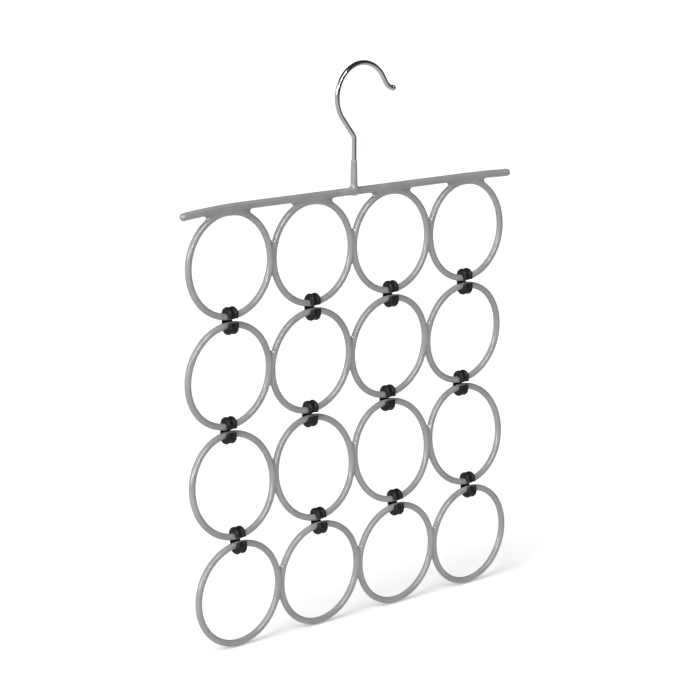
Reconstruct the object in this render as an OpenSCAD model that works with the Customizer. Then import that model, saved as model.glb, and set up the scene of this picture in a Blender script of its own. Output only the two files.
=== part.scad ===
// Scarf hanger: a wire hook on a bar, four rows of four rings that hang from each other on
// moulded clips, all dipped in soft vinyl. The origin is the inside top of the hook.
// X runs along the bar, Y from the front to the back, Z up.

/* [Rings] */
// Rings side by side in a row
columns = 4; // [2:1:4]
// Rows of rings, one under the other
rows = 4; // [2:1:4]
// Diameter of a ring at the middle of its wire
ring_d = 85; // [70:1:86]
// Thickness of the steel wire of a ring
ring_wire_d = 3.5; // [3:0.1:3.8]
// Distance between the middles of two neighbouring rings
ring_pitch = 88.35; // [88.2:0.05:88.45]
// Thickness of the vinyl skin
skin = 1; // [0.8:0.1:1.2]

/* [Bar] */
// Thickness of the steel rod in the bar
rod_d = 4.5; // [4:0.1:5]
// Length of the bar with its skin
bar_length = 368.4; // [360:1:400]
// Height of the bar's middle above the middles of the top rings
bar_rise = 46.3; // [46.2:0.05:46.4]
// How far the top row's middle lies left of the hook's stem
row_shift = 1.6; // [0:0.1:3]
// Straight part of the bar left of the stem, before its end droops
straight_left = 117; // [100:1:150]
// Straight part of the bar right of the stem, before its end droops
straight_right = 126; // [100:1:150]
// Bend radius of the drooping left end
droop_left = 650; // [500:10:2000]
// Bend radius of the drooping right end
droop_right = 1400; // [500:10:2000]

/* [Hook] */
// Thickness of the chromed hook wire
hook_wire_d = 4; // [3.6:0.1:4.4]
// Bend radius of the hook at the middle of its wire
hook_r = 27.7; // [25:0.1:32]
// Where the hook's round part starts, as an angle round its middle
hook_start = 219; // [210:1:230]
// Where the hook's round part ends
hook_end = 32; // [20:1:45]
// How far the stem stands left of the hook's middle
stem_x = -8.8; // [-10:0.1:-7]
// Height of the hanging point above the middle of the bar
hook_height = 104.2; // [95:0.1:120]
// Bend radius where the stem turns into the hook
neck_r = 6; // [4:0.5:8]
// Straight part after the hook's round part
lip_length = 6.1; // [4:0.1:12]
// Bend radius of the turned-up lip
lip_r = 11; // [8:0.5:14]
// How far the lip turns up
lip_turn = 51; // [30:1:60]
// Diameter of the ball that ends the wire
tip_d = 5; // [4.6:0.1:6]
// Height of the vinyl sleeve on the stem, from the middle of the bar
sleeve_height = 25.5; // [20:0.5:30]
// Diameter of the sleeve at its top
sleeve_top_d = 5.2; // [5:0.1:6]
// Diameter of the sleeve at the bar
sleeve_foot_d = 6.2; // [6:0.1:6.4]

/* [Clips] */
// Distance between the upper and the lower wire in a clip
clip_drop = 6.9; // [6.6:0.1:8]
// Length of a clip along the wires
clip_length = 10.4; // [9:0.1:11]
// Diameter of the two eyes in a clip
clip_eye_d = 6.9; // [6.8:0.1:7]
// Radius of a clip's round ends, over its beads
clip_end_r = 6.1; // [6:0.1:6.5]
// How far the middle of a round end lies beyond the wire that it holds
clip_reach = 1.9; // [1:0.1:3]
// Radius of the two beads that run round a clip
clip_bead_r = 2.5; // [2:0.1:2.5]
// Depth of the groove between the two beads
clip_groove = 0.8; // [0.5:0.1:1]
// How far the upper lip of the mouth reaches below the upper wire's middle
mouth_top = 1.2; // [0.8:0.1:1.6]
// How far the lower lip of the mouth stands above the lower wire's middle
mouth_bottom = 2; // [1.5:0.1:2.4]

/* [Hanging] */
// How far the foot of each row swings to the front
row_lean = [0, -2.8, 5.4, -1.7]; // [-30:0.1:30]
// How far the foot of each level of clips swings to the front
clip_lean = [2, -3, 11]; // [-30:0.1:30]
// How far each row stands to the right of the row above it
row_slip = [0, 0, 2.2, 2.4]; // [-5:0.1:5]

/* [Hidden] */
$fn = 72;

steel_grey = [0.62, 0.62, 0.64];
chrome = [0.85, 0.85, 0.87];
vinyl_grey = [0.58, 0.58, 0.59];
clip_black = [0.13, 0.13, 0.13];

ring_r = ring_d / 2;
wire_r = ring_wire_d / 2;
skin_r = wire_r + skin;
rod_r = rod_d / 2;
bar_r = rod_r + skin;
hook_wire_r = hook_wire_d / 2;
rod_inset = 2;
// A bent wire swells by a hair where a bend begins or ends
swell = 0.02;
// Steps in a full turn of a bend, where it isn't wider still
fine_steps = 120;
big = 500;

bar_z = -hook_height;
top_row_x = stem_x - row_shift;
top_row_z = bar_z - bar_rise;

// Direction from the foot of a hanging thing to its head, when its foot swings to the front
function head(lean) = [0, sin(lean), cos(lean)];
function column_x(c) = (c - (columns + 1) / 2) * ring_pitch;

// Middle of a row, and of the line where a level of clips holds the row above it
function row_middle(r) = r == 1
    ? [top_row_x, 0, top_row_z]
    : clip_line(r - 1) - clip_drop * head(clip_lean[r - 2]) - ring_r * head(row_lean[r - 1])
        + [row_slip[r - 1] / 2, 0, 0];
function clip_line(r) = row_middle(r) - ring_r * head(row_lean[r - 1]) + [row_slip[r] / 2, 0, 0];

// Moves a thing drawn in an upright row to that row
module in_row(r) {
    translate(row_middle(r)) rotate([-row_lean[r - 1], 0, 0]) children();
}

// Part of a ring in the plane of the bar, from one angle on, counted from +X towards +Z
module bent_wire(bend_r, r, from = 0, turn = 360) {
    rotate([90, 0, 0]) rotate([0, 0, from])
        rotate_extrude(angle = turn, $fn = max(fine_steps, bend_r))
        translate([bend_r, 0]) circle(r);
}

module straight_wire(start, lean, length, r) {
    translate([start[0], 0, start[1]]) rotate([0, lean, 0]) cylinder(h = length, r = r);
}

module ring(c, r) {
    translate([column_x(c), 0, 0]) bent_wire(ring_r, r);
}

module row_of_rings(r) {
    for (c = [1 : columns]) ring(c, r);
}

// One end of the bar, past its straight part: it bends down a little towards the left
module bar_end(straight, droop, half, r, domed) {
    turn = (half - straight) / droop * 180 / PI;
    translate([-straight, 0, -droop]) {
        bent_wire(droop, r, 90, turn);
        if (domed) rotate([0, -turn, 0]) translate([0, 0, droop]) sphere(r + swell);
    }
}

module bar_line(half, r, domed) {
    translate([stem_x, 0, bar_z]) {
        translate([-straight_left, 0, 0]) rotate([0, 90, 0])
            cylinder(h = straight_left + straight_right, r = r);
        bar_end(straight_left, droop_left, half, r, domed);
        mirror([1, 0, 0]) bar_end(straight_right, droop_right, half, r, domed);
    }
}

module rod() {
    bar_line(bar_length / 2 - rod_inset, rod_r, false);
}

module hook_wire() {
    arc_z = -hook_r + hook_wire_r;
    lean = hook_start - 180;
    heading = [-sin(lean), cos(lean)];
    arc_foot = [hook_r * cos(hook_start), arc_z + hook_r * sin(hook_start)];
    slope = (arc_foot[0] - stem_x) / heading[0];
    corner = arc_foot - slope * heading;
    neck_cut = neck_r * tan(lean / 2);
    stem_top = corner[1] - neck_cut;
    neck_end = corner + neck_cut * heading;
    arc_tip = [hook_r * cos(hook_end), arc_z + hook_r * sin(hook_end)];
    outward = [sin(hook_end), -cos(hook_end)];
    lip_start = arc_tip + lip_length * outward;
    lip_middle = lip_start + lip_r * [cos(hook_end), sin(hook_end)];
    lip_from = 180 + hook_end;
    lip_to = lip_from + lip_turn;
    lip_end = lip_middle + lip_r * [cos(lip_to), sin(lip_to)];
    color(chrome) difference() {
        union() {
            straight_wire([stem_x, bar_z], 0, stem_top - bar_z, hook_wire_r);
            translate([stem_x - neck_r, 0, stem_top]) bent_wire(neck_r, hook_wire_r, 0, lean);
            straight_wire(neck_end, -lean, slope - neck_cut, hook_wire_r);
            translate([0, 0, arc_z])
                bent_wire(hook_r, hook_wire_r, hook_end, hook_start - hook_end);
            straight_wire(arc_tip, 180 - hook_end, lip_length, hook_wire_r);
            translate([lip_middle[0], 0, lip_middle[1]])
                bent_wire(lip_r, hook_wire_r, lip_from, lip_turn);
            translate([lip_end[0], 0, lip_end[1]]) sphere(d = tip_d);
            for (p = [[stem_x, stem_top], neck_end, arc_foot, arc_tip, lip_start])
                translate([p[0], 0, p[1]]) sphere(hook_wire_r + swell);
        }
        rod();
    }
}

module bar_rod() {
    color(steel_grey) rod();
}

// A ring's wire is pressed a little into its neighbours and the rod where they are welded
module ring_wire(r, c) {
    color(steel_grey) difference() {
        in_row(r) difference() {
            ring(c, wire_r);
            for (side = [-1, 1])
                if (c + side >= 1 && c + side <= columns)
                    translate([column_x(c) + side * (ring_pitch + big) / 2, 0, 0])
                        cube([big, big, big], center = true);
        }
        if (r == 1) rod();
    }
}

// The vinyl skin covers a whole row, and in the top row the bar and the foot of the stem
module row_skin(r) {
    color(vinyl_grey) difference() {
        union() {
            in_row(r) row_of_rings(skin_r);
            if (r == 1) {
                bar_line(bar_length / 2 - bar_r, bar_r, true);
                translate([stem_x, 0, bar_z])
                    cylinder(h = sleeve_height, d1 = sleeve_foot_d, d2 = sleeve_top_d);
            }
        }
        in_row(r) row_of_rings(wire_r);
        if (r == 1) {
            rod();
            translate([stem_x, 0, bar_z]) cylinder(h = big, r = hook_wire_r);
        }
    }
}

// Half outline of a clip across its beads: X along the wires, Y outwards
module clip_outline() {
    bead_middle = clip_end_r - clip_bead_r;
    bead_x = clip_length / 2 - clip_bead_r;
    for (side = [-1, 1]) translate([side * bead_x, bead_middle]) circle(clip_bead_r);
    translate([-clip_length / 2, 0]) square([clip_length, bead_middle]);
    translate([-bead_x, 0]) square([2 * bead_x, clip_end_r - clip_groove]);
}

module clip_body() {
    ends = clip_drop + 2 * clip_reach;
    for (half = [0, 1])
        translate([0, 0, half == 0 ? clip_reach : clip_reach - ends])
            rotate([0, 90, 0]) rotate([0, 0, half * 180 + 90])
                rotate_extrude(angle = 180, $fn = fine_steps) rotate(-90) clip_outline();
    translate([0, 0, clip_reach - ends]) linear_extrude(ends)
        for (turn = [0, 180]) rotate(turn) clip_outline();
}

// A clip is drawn upright with its upper eye at the origin, its mouth to the front
module clip(r, c) {
    eye_r = clip_eye_d / 2;
    place = clip_line(r) + [column_x(c), 0, 0];
    color(clip_black) translate(place) rotate([-clip_lean[r - 1], 0, 0]) difference() {
        clip_body();
        for (down = [0, clip_drop])
            translate([0, 0, -down]) rotate([0, 90, 0])
                cylinder(h = big, r = eye_r, center = true);
        translate([-big / 2, -eye_r, -clip_drop]) cube([big, 2 * eye_r, clip_drop]);
        translate([-big / 2, -big, -clip_drop + mouth_bottom])
            cube([big, big, clip_drop - mouth_bottom - mouth_top]);
    }
}

hook_wire();
bar_rod();
for (r = [1 : rows], c = [1 : columns])
    ring_wire(r, c);
for (r = [1 : rows])
    row_skin(r);
for (r = [1 : rows - 1], c = [1 : columns])
    clip(r, c);
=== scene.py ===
"""The looks of the scarf hanger: dipped skins, chromed hook, moulded clips, floor, light and camera."""
import math

import bpy
import numpy as np
from mathutils import Matrix, Vector

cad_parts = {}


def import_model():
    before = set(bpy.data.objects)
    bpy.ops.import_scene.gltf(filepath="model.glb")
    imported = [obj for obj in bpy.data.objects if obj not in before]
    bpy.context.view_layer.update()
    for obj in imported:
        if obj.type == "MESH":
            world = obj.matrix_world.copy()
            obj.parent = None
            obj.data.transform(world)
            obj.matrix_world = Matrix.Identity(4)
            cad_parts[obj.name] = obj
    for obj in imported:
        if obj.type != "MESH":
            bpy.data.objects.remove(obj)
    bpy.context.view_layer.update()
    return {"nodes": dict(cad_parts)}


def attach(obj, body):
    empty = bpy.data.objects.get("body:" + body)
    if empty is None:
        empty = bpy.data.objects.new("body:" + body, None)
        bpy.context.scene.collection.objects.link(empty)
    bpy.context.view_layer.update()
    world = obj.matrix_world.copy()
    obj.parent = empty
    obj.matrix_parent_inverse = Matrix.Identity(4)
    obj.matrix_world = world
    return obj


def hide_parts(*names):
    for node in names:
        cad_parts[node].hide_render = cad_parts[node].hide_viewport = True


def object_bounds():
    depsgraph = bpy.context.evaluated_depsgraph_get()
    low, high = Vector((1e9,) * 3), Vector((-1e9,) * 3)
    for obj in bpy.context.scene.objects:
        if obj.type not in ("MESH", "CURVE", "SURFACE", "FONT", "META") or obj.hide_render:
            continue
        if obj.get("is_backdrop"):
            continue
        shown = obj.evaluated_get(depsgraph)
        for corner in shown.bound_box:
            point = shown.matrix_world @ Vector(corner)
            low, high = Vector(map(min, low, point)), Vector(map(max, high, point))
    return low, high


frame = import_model()

# Sizes of the hanger, in metres, as the frame has them
COLUMNS = 4
ROWS = 4
RING_R = 0.0425
RING_PITCH = 0.08835
SKIN_R = 0.00275
BAR_SKIN_R = 0.00325
BAR_LENGTH = 0.3684
BAR_Z = -0.1042
STEM_X = -0.0088
STRAIGHT_LEFT, DROOP_LEFT = 0.117, 0.65
STRAIGHT_RIGHT, DROOP_RIGHT = 0.126, 1.4
SLEEVE_TOP_R, SLEEVE_FOOT_R, SLEEVE_HEIGHT, SLEEVE_EDGE = 0.0026, 0.0031, 0.0255, 0.0006
HOOK_WIRE_R = 0.002
HOOK_R = 0.0277
NECK_R = 0.006
LIP_LENGTH, LIP_R = 0.0061, 0.011
BALL_R = 0.0025
CLIP_DROP, CLIP_REACH = 0.0069, 0.0019
CLIP_END_R, CLIP_EYE_R = 0.0061, 0.00345

# Where the hook's round starts and ends and how far its lip turns up, in degrees
HOOK_START, HOOK_END, LIP_TURN = 219, 32, 51
# How far up inside the sleeve the hook's wire starts
HOOK_FOOT = 0.004

# How far thin webs of the coat reach out of the corners where tubes meet, half their thickness,
# and how widely the coat rounds the seams
RING_WEB, BAR_WEB, WEB_HALF = 0.005, 0.006, 0.0013
SEAM_BLEND, SLEEVE_BLEND = 0.0016, 0.003
# Rough tubes that become the coat: points round a ring and along the bar and the sleeve, sides, and how
# much thicker than the coat they are
RING_POINTS, BAR_POINTS, SLEEVE_POINTS = 145, 80, 12
TUBE_SIDES = 16
PUFF = 0.0013
# Size of the mesh that joins the tubes, how often and how far at most each of its points then moves
# towards the coat's surface, how far off it feels for the slope, and the least slope it reckons with
SKIN_MESH = 0.0007
SETTLE_STEPS, SETTLE_REACH = 10, 0.0008
SLOPE_STEP, LEAST_SLOPE = 0.00002, 0.5

# Mesh of the hook: sides of its wire, points along each stretch, and how many of the lip's last points
# lie inside the ball
HOOK_SIDES = 32
HOOK_POINTS = {"stem": 14, "neck": 10, "slant": 6, "round": 90, "straight": 5, "lip": 16, "ball": 12}
INSIDE_BALL = 3
# How far below the neck the stem's last point lies, how wide the ball's first circle is as a part of
# the wire's width, and where its last circle lies as a part of the quarter turn to its pole
STEM_GAP = 0.001
BALL_FIRST, BALL_LAST = 0.98, 0.985

# Clips: size of their mesh, how often their edges are smoothed, and the ribs pressed into their ends
CLIP_MESH, CLIP_SMOOTHING = 0.00022, 6
RIB_PITCH, RIB_DEPTH, RIB_FADE = 0.00115, 0.00005, 0.0006

# The camera stands where the photograph's did
CAMERA_PLACE = (-1.4261, -1.5611, 0.2109)
CAMERA_AIM = (-0.01255, 0.0, -0.23896)
CAMERA_LENS = 131.49
CAMERA_ROLL = 0.216

# Light: how bright the floor glows for the camera alone, and the soft light all round
FLOOR_GLOW = 0.25
SOFT_LIGHT = 0.35
# What shiny things mirror: the side where it gets dark, the painted reflection of the floor, which glows
# pale near and dark far on that side, and where it fades from one to the other, in metres, and the
# studio's brightness from low on the left to overhead and right
STUDIO_RIGHT = (0.54, -0.27)
PAINTED_FLOOR_REFLECTION_NEAR, PAINTED_FLOOR_REFLECTION_FAR = (0.58, 0.53, 0.55), (0.13, 0.12, 0.12)
FLOOR_FADE = (0.15, 0.8)
MIRRORED_STUDIO = [(0.0, 0.42), (0.12, 0.25), (0.3, 0.04), (1.0, 0.03)]

# Lights: where each one stands, how many degrees wide it is and how strong. The first only light things
# up, the others are only seen mirrored in the chrome and the coat.
LIGHTS = [
    ("key", (-1.0, -0.25, 0.95), 40, 2.8),
    ("fill", (0.3, -1.0, 0.9), 60, 0.3),
]
MIRRORED_LIGHTS = [
    ("front_box_1", (-0.56, -0.72, 0.38), 15, 0.65),
    ("front_box_2", (-0.35, -0.72, 0.58), 15, 0.65),
    ("front_box_3", (-0.12, -0.72, 0.69), 15, 0.65),
    ("left_box", (-1.0, -0.05, 0.3), 24, 1.2),
]

# The floor: half its width, and how far it lies below the lowest ring
FLOOR_HALF, FLOOR_GAP = 20, 0.0005


def row_frame(row):
    """Middle of a row's rings and the direction from its foot to its head, at rest."""
    inner = (COLUMNS // 2, COLUMNS // 2 + 1)
    wires = [frame["nodes"][f"ring_wire_{row}_{column}"] for column in inner]
    points = np.array([v.co for w in wires for v in w.data.vertices])
    middle = (points.min(0) + points.max(0)) / 2
    flat = points[:, 1:] - points[:, 1:].mean(0)
    lean = np.linalg.svd(flat, full_matrices=False)[2][0]
    lean = lean * np.sign(lean[1])
    return middle, np.array([0, lean[0], lean[1]])


def along_row(column):
    """How far a column lies from its row's middle, along X."""
    return np.array([(column - (COLUMNS + 1) / 2) * RING_PITCH, 0, 0])


# Distance fields: each takes points and gives how far they lie outside a shape

def from_ring(points, middle, up):
    """Distance from a coated ring whose plane holds X and up."""
    p = points - middle
    height = p @ up
    off_plane = p @ np.cross([1, 0, 0], up)
    return np.hypot(np.hypot(p[:, 0], height) - RING_R, off_plane) - SKIN_R


def from_bar(points):
    """Distance from the bar: straight in the middle, on large arcs towards its ends."""
    x = points[:, 0] - STEM_X
    z = points[:, 2] - BAR_Z
    y = points[:, 1]
    half = BAR_LENGTH / 2 - BAR_SKIN_R
    best = None
    for side, straight, droop in ((-1, STRAIGHT_LEFT, DROOP_LEFT), (1, STRAIGHT_RIGHT, DROOP_RIGHT)):
        along = side * x
        turn = np.clip(np.arctan2(along - straight, z + droop), 0, (half - straight) / droop)
        near_x = np.where(along < straight, np.maximum(along, 0), straight + droop * np.sin(turn))
        near_z = np.where(along < straight, 0, droop * (np.cos(turn) - 1))
        d = np.sqrt((along - near_x) ** 2 + y ** 2 + (z - near_z) ** 2) - BAR_SKIN_R
        best = d if best is None else np.minimum(best, d)
    return best


def from_sleeve(points):
    """Distance from the tapered sleeve that runs up the stem."""
    x = points[:, 0] - STEM_X
    z = points[:, 2] - BAR_Z
    t = np.clip(z / SLEEVE_HEIGHT, 0, 1)
    radius = SLEEVE_FOOT_R + (SLEEVE_TOP_R - SLEEVE_FOOT_R) * t
    beyond = z - np.clip(z, 0, SLEEVE_HEIGHT - SLEEVE_EDGE)
    return np.sqrt(x ** 2 + points[:, 1] ** 2 + beyond ** 2) - radius


def soft_union(a, b, blend):
    """The lesser of two distances, rounded over where they are within blend of each other."""
    h = np.clip(0.5 + 0.5 * (b - a) / blend, 0, 1)
    return b + (a - b) * h - blend * h * (1 - h)


def skin_field(row, middle, up):
    """Distance field of a row's skin: tubes, and the thin webs that a dip leaves in sharp corners."""
    rings = [middle + along_row(column) for column in range(1, COLUMNS + 1)]
    out = np.cross([1, 0, 0], up)

    def united(points, ring_blend, bar_blend):
        d = from_ring(points, rings[0], up)
        for ring in rings[1:]:
            d = soft_union(d, from_ring(points, ring, up), ring_blend)
        if row == 1:
            d = soft_union(d, from_bar(points), bar_blend)
            d = soft_union(d, from_sleeve(points), SLEEVE_BLEND)
        return d

    def field(points):
        off_plane = (points - middle) @ out
        flat = points - off_plane[:, None] * out
        tubes = united(points, SEAM_BLEND, SEAM_BLEND)
        web = -soft_union(-united(flat, RING_WEB, BAR_WEB), WEB_HALF - np.abs(off_plane), SEAM_BLEND)
        return np.minimum(tubes, web)

    return field


def mesh_object(name, verts, faces):
    """A new object with a smooth shaded mesh."""
    mesh = bpy.data.meshes.new(name)
    mesh.from_pydata([tuple(v) for v in verts], [], [tuple(f) for f in faces])
    mesh.update()
    obj = bpy.data.objects.new(name, mesh)
    bpy.context.scene.collection.objects.link(obj)
    mesh.polygons.foreach_set("use_smooth", [True] * len(mesh.polygons))
    return obj


def swept(centres, radii, side, sides):
    """Vertices and faces of a closed tube along points; side is a direction across its plane."""
    centres = np.asarray(centres, float)
    ahead = np.gradient(centres, axis=0)
    ahead /= np.linalg.norm(ahead, axis=1)[:, None]
    across = np.cross(side, ahead)
    turn = np.linspace(0, 2 * math.pi, sides, endpoint=False)
    rings = [c + r * (np.cos(turn)[:, None] * side + np.sin(turn)[:, None] * a)
             for c, a, r in zip(centres, across, radii)]
    verts = np.concatenate(rings)
    faces = []
    for i in range(len(centres) - 1):
        here, there = i * sides, (i + 1) * sides
        for j in range(sides):
            k = (j + 1) % sides
            faces.append((here + j, here + k, there + k, there + j))
    faces.append(tuple(range(sides))[::-1])
    faces.append(tuple((len(centres) - 1) * sides + j for j in range(sides)))
    return verts, faces


def apply_modifiers(obj):
    """Replaces an object's mesh by what its modifiers make of it."""
    graph = bpy.context.evaluated_depsgraph_get()
    mesh = bpy.data.meshes.new_from_object(obj.evaluated_get(graph))
    obj.modifiers.clear()
    old = obj.data
    obj.data = mesh
    bpy.data.meshes.remove(old)
    mesh.polygons.foreach_set("use_smooth", [True] * len(mesh.polygons))


def remesh(obj, voxel):
    """Makes one closed skin of overlapping shapes."""
    modifier = obj.modifiers.new("remesh", "REMESH")
    modifier.mode = "VOXEL"
    modifier.voxel_size = voxel
    apply_modifiers(obj)


def vectors_of(mesh, kind):
    """A vector for each vertex of a mesh: its place (co) or its normal."""
    flat = np.zeros(len(mesh.vertices) * 3)
    mesh.vertices.foreach_get(kind, flat)
    return flat.reshape(-1, 3)


def settle(obj, field):
    """Moves every vertex onto the surface where the field is zero."""
    p = vectors_of(obj.data, "co")
    axes = np.eye(3) * SLOPE_STEP
    for _ in range(SETTLE_STEPS):
        here = field(p)
        slope = np.stack([(field(p + a) - field(p - a)) / (2 * SLOPE_STEP) for a in axes], 1)
        slope /= np.maximum((slope ** 2).sum(1), LEAST_SLOPE ** 2)[:, None]
        p = p - np.clip(here, -SETTLE_REACH, SETTLE_REACH)[:, None] * slope
    obj.data.vertices.foreach_set("co", p.ravel())
    obj.data.update()


def skin(row, material):
    """The dipped skin of a row, made as one surface over its rings, bar and sleeve."""
    middle, up = row_frame(row)
    verts, faces = [], []

    def add(v, f):
        base = sum(len(x) for x in verts)
        verts.append(v)
        faces.extend(tuple(i + base for i in face) for face in f)

    turn = np.linspace(0, 2 * math.pi, RING_POINTS)[:, None]
    right = np.array([1, 0, 0])
    for column in range(1, COLUMNS + 1):
        ring = middle + along_row(column)
        centres = ring + RING_R * (np.cos(turn) * right + np.sin(turn) * up)
        add(*swept(centres, [SKIN_R + PUFF] * RING_POINTS, np.cross(right, up), TUBE_SIDES))
    if row == 1:
        back = np.array([0, 1, 0])
        x = np.linspace(-BAR_LENGTH / 2, BAR_LENGTH / 2, BAR_POINTS)
        past_left = np.maximum(-x - STRAIGHT_LEFT, 0)
        past_right = np.maximum(x - STRAIGHT_RIGHT, 0)
        z = -past_left ** 2 / (2 * DROOP_LEFT) - past_right ** 2 / (2 * DROOP_RIGHT)
        bar = np.stack([x + STEM_X, 0 * x, z + BAR_Z], 1)
        add(*swept(bar, [BAR_SKIN_R + PUFF] * BAR_POINTS, back, TUBE_SIDES))
        z = np.linspace(0, SLEEVE_HEIGHT, SLEEVE_POINTS)
        stem = np.stack([0 * z + STEM_X, 0 * z, z + BAR_Z], 1)
        add(*swept(stem, np.linspace(SLEEVE_FOOT_R, SLEEVE_TOP_R, SLEEVE_POINTS) + PUFF, back, TUBE_SIDES))
    obj = mesh_object(f"dipped_skin_{row}", np.concatenate(verts), faces)
    remesh(obj, SKIN_MESH)
    settle(obj, skin_field(row, middle, up))
    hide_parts(f"row_skin_{row}")
    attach(obj, f"row_{row}")
    obj.data.materials.append(material)


def arc(middle, radius, start, end, count):
    """Points on an arc in the plane of the bar, from one angle to another in degrees."""
    turn = np.radians(np.linspace(start, end, count))
    return [(middle[0] + radius * math.cos(t), middle[1] + radius * math.sin(t)) for t in turn]


def stretch(start, end, margin, count):
    """Points on a straight stretch, a margin (a part of its length) in from both ends."""
    return [tuple(start + (end - start) * t) for t in np.linspace(margin, 1 - margin, count)]


def hook_line():
    """Middle line of the hook's wire up to its ball, the ball's middle and the wire's direction there."""
    lean = math.radians(HOOK_START - 180)
    heading = np.array([-math.sin(lean), math.cos(lean)])
    middle = np.array([0, HOOK_WIRE_R - HOOK_R])
    foot = np.array(arc(middle, HOOK_R, HOOK_START, HOOK_START, 1)[0])
    slope = (foot[0] - STEM_X) / heading[0]
    corner = foot - slope * heading
    cut = NECK_R * math.tan(lean / 2)
    count = HOOK_POINTS
    stem_top = corner[1] - cut - STEM_GAP
    line = [(STEM_X, z) for z in np.linspace(BAR_Z + HOOK_FOOT, stem_top, count["stem"])]
    line += arc((STEM_X - NECK_R, corner[1] - cut), NECK_R, 0, HOOK_START - 180, count["neck"])
    line += stretch(corner + cut * heading, foot, 0.1, count["slant"])
    line += arc(middle, HOOK_R, HOOK_START, HOOK_END, count["round"])
    end = np.array(line[-1])
    turned = math.radians(HOOK_END)
    out = np.array([math.sin(turned), -math.cos(turned)])
    lip_start = end + out * LIP_LENGTH
    line += stretch(end, lip_start, 0.15, count["straight"])
    lip = lip_start + LIP_R * np.array([math.cos(turned), math.sin(turned)])
    line += arc(lip, LIP_R, 180 + HOOK_END, 180 + HOOK_END + LIP_TURN, count["lip"])
    last = math.radians(180 + HOOK_END + LIP_TURN)
    return np.array(line[:-INSIDE_BALL]), np.array(line[-1]), np.array([-math.sin(last), math.cos(last)])


def hook(material):
    """The chromed hook with the ball that ends its wire."""
    line, ball, ahead = hook_line()
    radii = [HOOK_WIRE_R] * len(line)
    # The ball is a row of circles from just inside the wire to nearly its far pole
    first = -math.acos(HOOK_WIRE_R * BALL_FIRST / BALL_R)
    turn = np.linspace(first, math.pi / 2 * BALL_LAST, HOOK_POINTS["ball"])
    line = np.concatenate([line, [ball + ahead * BALL_R * math.sin(a) for a in turn]])
    radii += [BALL_R * math.cos(a) for a in turn]
    centres = np.stack([line[:, 0], 0 * line[:, 0], line[:, 1]], 1)
    verts, faces = swept(centres, radii, np.array([0, 1, 0]), HOOK_SIDES)
    obj = mesh_object("chrome_hook", verts, faces)
    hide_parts("hook_wire")
    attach(obj, "row_1")
    obj.data.materials.append(material)


def clip_axes(level):
    """The line of a level's upper eyes and the direction from lower to upper eye, at rest."""
    above, up_above = row_frame(level)
    below, up_below = row_frame(level + 1)
    upper = above - RING_R * up_above
    lower = below + RING_R * up_below
    slip = (below[0] - above[0]) / 2
    up = upper - lower
    up[0] = 0
    return upper + np.array([slip, 0, 0]), up / np.linalg.norm(up)


def clip(level, column, material):
    """A moulded clip: the CAD clip's shape with rounded edges and fine ribs round it."""
    node = frame["nodes"][f"clip_{level}_{column}"]
    obj = bpy.data.objects.new(f"moulded_clip_{level}_{column}", node.data.copy())
    bpy.context.scene.collection.objects.link(obj)
    obj.data.materials.clear()
    remesh(obj, CLIP_MESH)
    upper, up = clip_axes(level)
    rounded(obj, upper + along_row(column), up)
    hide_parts(f"clip_{level}_{column}")
    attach(obj, f"clips_{level}")
    obj.data.materials.append(material)


def rounded(obj, place, up):
    """Smooths a clip's edges, then presses fine ribs into its outside."""
    smooth = obj.modifiers.new("smooth", "SMOOTH")
    smooth.factor = 0.5
    smooth.iterations = CLIP_SMOOTHING
    apply_modifiers(obj)
    mesh = obj.data
    p = vectors_of(mesh, "co")
    normals = vectors_of(mesh, "normal")
    local = p - place
    height = local @ up
    depth = local @ np.cross([1, 0, 0], up)
    centre = np.clip(height, -CLIP_DROP - CLIP_REACH, CLIP_REACH)
    radius = np.hypot(height - centre, depth)
    outside = np.clip((radius - (CLIP_EYE_R + CLIP_END_R) / 2) / RIB_FADE, 0, 1)
    # How far along the outline a point lies: up the straight sides, then round the ends
    way = centre + np.arctan2(height - centre, np.abs(depth)) * CLIP_END_R
    ribs = np.cos(way * 2 * math.pi / RIB_PITCH)
    p = p + normals * (outside * ribs * RIB_DEPTH)[:, None]
    mesh.vertices.foreach_set("co", p.ravel())
    mesh.update()


# Materials

def new_material(name):
    """A material with its node tree and its shader."""
    material = bpy.data.materials.new(name)
    material.use_nodes = True
    tree = material.node_tree
    return material, tree, tree.nodes["Principled BSDF"]


def noise(tree, scale, detail):
    """Noise fixed to the object; scale says how many lumps it has along a metre."""
    node = tree.nodes.new("ShaderNodeTexNoise")
    node.inputs["Scale"].default_value = scale
    node.inputs["Detail"].default_value = detail
    tree.links.new(object_coordinates(tree), node.inputs["Vector"])
    return node.outputs["Fac"]


def ramp(tree, source, low, high, from_low=0.35, from_high=0.65):
    """Stretches a value from one range to another; by default from where noise mostly lies."""
    node = tree.nodes.new("ShaderNodeMapRange")
    node.inputs["From Min"].default_value = from_low
    node.inputs["From Max"].default_value = from_high
    node.inputs["To Min"].default_value = low
    node.inputs["To Max"].default_value = high
    tree.links.new(source, node.inputs["Value"])
    return node.outputs["Result"]


def bump(tree, shader, source, strength, distance):
    """Bends a shader's normals by a height."""
    node = tree.nodes.new("ShaderNodeBump")
    node.inputs["Strength"].default_value = strength
    node.inputs["Distance"].default_value = distance
    tree.links.new(source, node.inputs["Height"])
    tree.links.new(node.outputs["Normal"], shader.inputs["Normal"])


def mixed(tree, factor, first, second):
    """A colour between two colours."""
    node = tree.nodes.new("ShaderNodeMix")
    node.data_type = "RGBA"
    node.inputs["A"].default_value = (*first, 1)
    node.inputs["B"].default_value = (*second, 1)
    tree.links.new(factor, node.inputs["Factor"])
    return node.outputs["Result"]


def object_coordinates(tree):
    """Coordinates fixed to the object, in metres."""
    return tree.nodes.new("ShaderNodeTexCoord").outputs["Object"]


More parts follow.
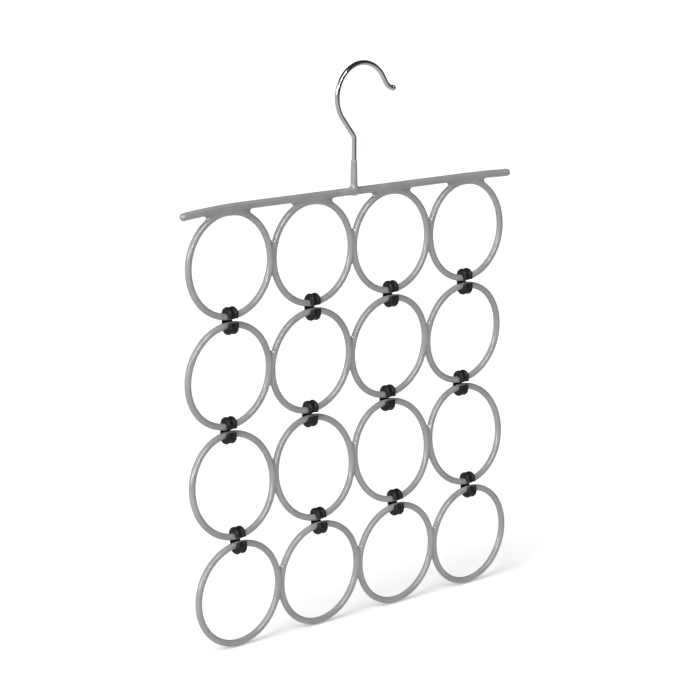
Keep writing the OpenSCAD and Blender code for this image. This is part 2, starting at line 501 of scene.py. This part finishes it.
def speckled(tree, shader, scale, detail, first, second):
    """Base colour that wanders between two colours."""
    colour = mixed(tree, ramp(tree, noise(tree, scale, detail), 0, 1), first, second)
    tree.links.new(colour, shader.inputs["Base Color"])


def hazy(tree, shader, scale, low, high):
    """Roughness that wanders between two values."""
    tree.links.new(ramp(tree, noise(tree, scale, 2), low, high), shader.inputs["Roughness"])


def vinyl():
    """Satin grey dip coat: soft sheen, slow ripples where the dip ran, faint cloudiness."""
    material, tree, shader = new_material("satin_grey_vinyl")
    speckled(tree, shader, 60, 3, (0.3, 0.302, 0.305), (0.345, 0.347, 0.35))
    hazy(tree, shader, 350, 0.14, 0.21)
    shader.inputs["Specular IOR Level"].default_value = 1
    bump(tree, shader, noise(tree, 160, 2), 0.12, 0.0004)
    return material


def chrome():
    """Bright chrome plate with the faintest haze."""
    material, tree, shader = new_material("chrome_plate")
    shader.inputs["Metallic"].default_value = 1
    speckled(tree, shader, 90, 2, (0.76, 0.75, 0.76), (0.82, 0.81, 0.82))
    hazy(tree, shader, 500, 0.05, 0.09)
    bump(tree, shader, noise(tree, 700, 2), 0.05, 0.0001)
    return material


def clip_plastic():
    """Black moulded plastic with a fine grain."""
    material, tree, shader = new_material("black_clip_plastic")
    speckled(tree, shader, 900, 3, (0.007, 0.0068, 0.0072), (0.015, 0.0145, 0.0152))
    hazy(tree, shader, 1500, 0.34, 0.5)
    shader.inputs["Specular IOR Level"].default_value = 0.35
    bump(tree, shader, noise(tree, 1700, 3), 0.6, 0.00015)
    return material


def core_steel():
    """Drawn steel wire, hidden inside the skins."""
    material, tree, shader = new_material("drawn_steel")
    shader.inputs["Metallic"].default_value = 1
    speckled(tree, shader, 120, 2, (0.5, 0.5, 0.52), (0.58, 0.58, 0.6))
    hazy(tree, shader, 300, 0.3, 0.45)
    return material


# Floor, light and camera

def glow(tree, colour, strength):
    """A surface that shines evenly."""
    node = tree.nodes.new("ShaderNodeEmission")
    node.inputs["Color"].default_value = (*colour, 1)
    node.inputs["Strength"].default_value = strength
    return node.outputs["Emission"]


def chosen(tree, ray, otherwise, if_so):
    """Mixes two shaders by the kind of ray that meets them."""
    node = tree.nodes.new("ShaderNodeMixShader")
    tree.links.new(tree.nodes.new("ShaderNodeLightPath").outputs[ray], node.inputs["Fac"])
    tree.links.new(otherwise, node.inputs[1])
    tree.links.new(if_so, node.inputs[2])
    return node.outputs["Shader"]


def floor_material():
    """White floor that the camera sees as white, but for the hanger's soft shadow; in reflections it shows
    a painted reflection, pale round the hanger and dark far off to the right.
    """
    material, tree, shader = new_material("white_floor")
    shader.inputs["Base Color"].default_value = (0.86, 0.86, 0.86, 1)
    shader.inputs["Roughness"].default_value = 0.9
    shader.inputs["Specular IOR Level"].default_value = 0.1
    white = (1, 1, 1)
    seen = chosen(tree, "Is Camera Ray", glow(tree, white, 0), glow(tree, white, FLOOR_GLOW))
    both = tree.nodes.new("ShaderNodeAddShader")
    tree.links.new(shader.outputs["BSDF"], both.inputs[0])
    tree.links.new(seen, both.inputs[1])
    # Painted reflection: mirrored, the floor glows pale round the hanger and dark far off to the right
    to_right = tree.nodes.new("ShaderNodeVectorMath")
    to_right.operation = "DOT_PRODUCT"
    to_right.inputs[1].default_value = (*STUDIO_RIGHT, 0)
    tree.links.new(object_coordinates(tree), to_right.inputs[0])
    far = ramp(tree, to_right.outputs["Value"], 0, 1, *FLOOR_FADE)
    painted_reflection = tree.nodes.new("ShaderNodeEmission")
    tree.links.new(mixed(tree, far, PAINTED_FLOOR_REFLECTION_NEAR, PAINTED_FLOOR_REFLECTION_FAR), painted_reflection.inputs["Color"])
    mirrored = chosen(tree, "Is Glossy Ray", both.outputs["Shader"], painted_reflection.outputs["Emission"])
    tree.links.new(mirrored, tree.nodes["Material Output"].inputs["Surface"])
    return material


def floor():
    """A flat floor just below the hanger."""
    low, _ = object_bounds()
    z = low.z - FLOOR_GAP
    half = FLOOR_HALF
    corners = [(-half, -half, z), (half, -half, z), (half, half, z), (-half, half, z)]
    obj = mesh_object("floor", corners, [(0, 1, 2, 3)])
    obj.data.materials.append(floor_material())
    obj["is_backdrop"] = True


def world():
    """White all round for the camera, soft light for the object, and a dim studio to be mirrored."""
    sky = bpy.data.worlds.new("studio")
    bpy.context.scene.world = sky
    sky.use_nodes = True
    tree = sky.node_tree
    tree.nodes.clear()

    def backdrop(strength):
        """White background of a given strength."""
        node = tree.nodes.new("ShaderNodeBackground")
        node.inputs["Color"].default_value = (1, 1, 1, 1)
        node.inputs["Strength"].default_value = strength
        return node

    # What is mirrored is pale low down on the left, and dark overhead and on the right
    side = tree.nodes.new("ShaderNodeVectorMath")
    side.operation = "DOT_PRODUCT"
    side.inputs[1].default_value = (*STUDIO_RIGHT, 1)
    tree.links.new(tree.nodes.new("ShaderNodeTexCoord").outputs["Generated"], side.inputs[0])
    band = tree.nodes.new("ShaderNodeValToRGB")
    band.color_ramp.interpolation = "EASE"
    elements = band.color_ramp.elements
    while len(elements) < len(MIRRORED_STUDIO):
        elements.new(0.5)
    for element, (place, value) in zip(elements, MIRRORED_STUDIO):
        element.position = place
        element.color = (value, value, value, 1)
    tree.links.new(side.outputs["Value"], band.inputs["Fac"])
    shiny = backdrop(1)
    tree.links.new(band.outputs["Color"], shiny.inputs["Color"])
    soft, white = backdrop(SOFT_LIGHT), backdrop(1)
    lit = chosen(tree, "Is Camera Ray", soft.outputs["Background"], white.outputs["Background"])
    last = chosen(tree, "Is Glossy Ray", lit, shiny.outputs["Background"])
    output = tree.nodes.new("ShaderNodeOutputWorld")
    tree.links.new(last, output.inputs["Surface"])


def sun(name, place, spread, strength, mirrored):
    """A soft light from the side where place is, spread degrees wide: mirrored only, or never mirrored."""
    light = bpy.data.lights.new(name, "SUN")
    light.energy = strength
    light.angle = math.radians(spread)
    obj = bpy.data.objects.new(name, light)
    bpy.context.scene.collection.objects.link(obj)
    obj.location = place
    obj.rotation_mode = "QUATERNION"
    obj.rotation_quaternion = (-Vector(place)).to_track_quat("-Z", "Y")
    obj.visible_glossy = mirrored
    obj.visible_diffuse = not mirrored


def camera():
    """The camera of the photograph."""
    data = bpy.data.cameras.new("camera")
    data.lens = CAMERA_LENS
    data.sensor_width = 36
    data.clip_end = 100
    obj = bpy.data.objects.new("camera", data)
    bpy.context.scene.collection.objects.link(obj)
    back = Vector(CAMERA_PLACE) - Vector(CAMERA_AIM)
    turn = (-back).to_track_quat("-Z", "Y")
    roll = Matrix.Rotation(math.radians(CAMERA_ROLL), 4, "Z")
    obj.matrix_world = Matrix.Translation(CAMERA_PLACE) @ turn.to_matrix().to_4x4() @ roll
    bpy.context.scene.camera = obj


coat, plate, black, steel = vinyl(), chrome(), clip_plastic(), core_steel()
for row in range(1, ROWS + 1):
    skin(row, coat)
hook(plate)
for level in range(1, ROWS):
    for column in range(1, COLUMNS + 1):
        clip(level, column, black)
for name, node in frame["nodes"].items():
    if name.startswith("ring_wire") or name == "bar_rod":
        node.data.materials.clear()
        node.data.materials.append(steel)
floor()
world()
for name, place, spread, strength in LIGHTS:
    sun(name, place, spread, strength, False)
for name, place, spread, strength in MIRRORED_LIGHTS:
    sun(name, place, spread, strength, True)
camera()
bpy.context.scene.view_settings.view_transform = "Standard"
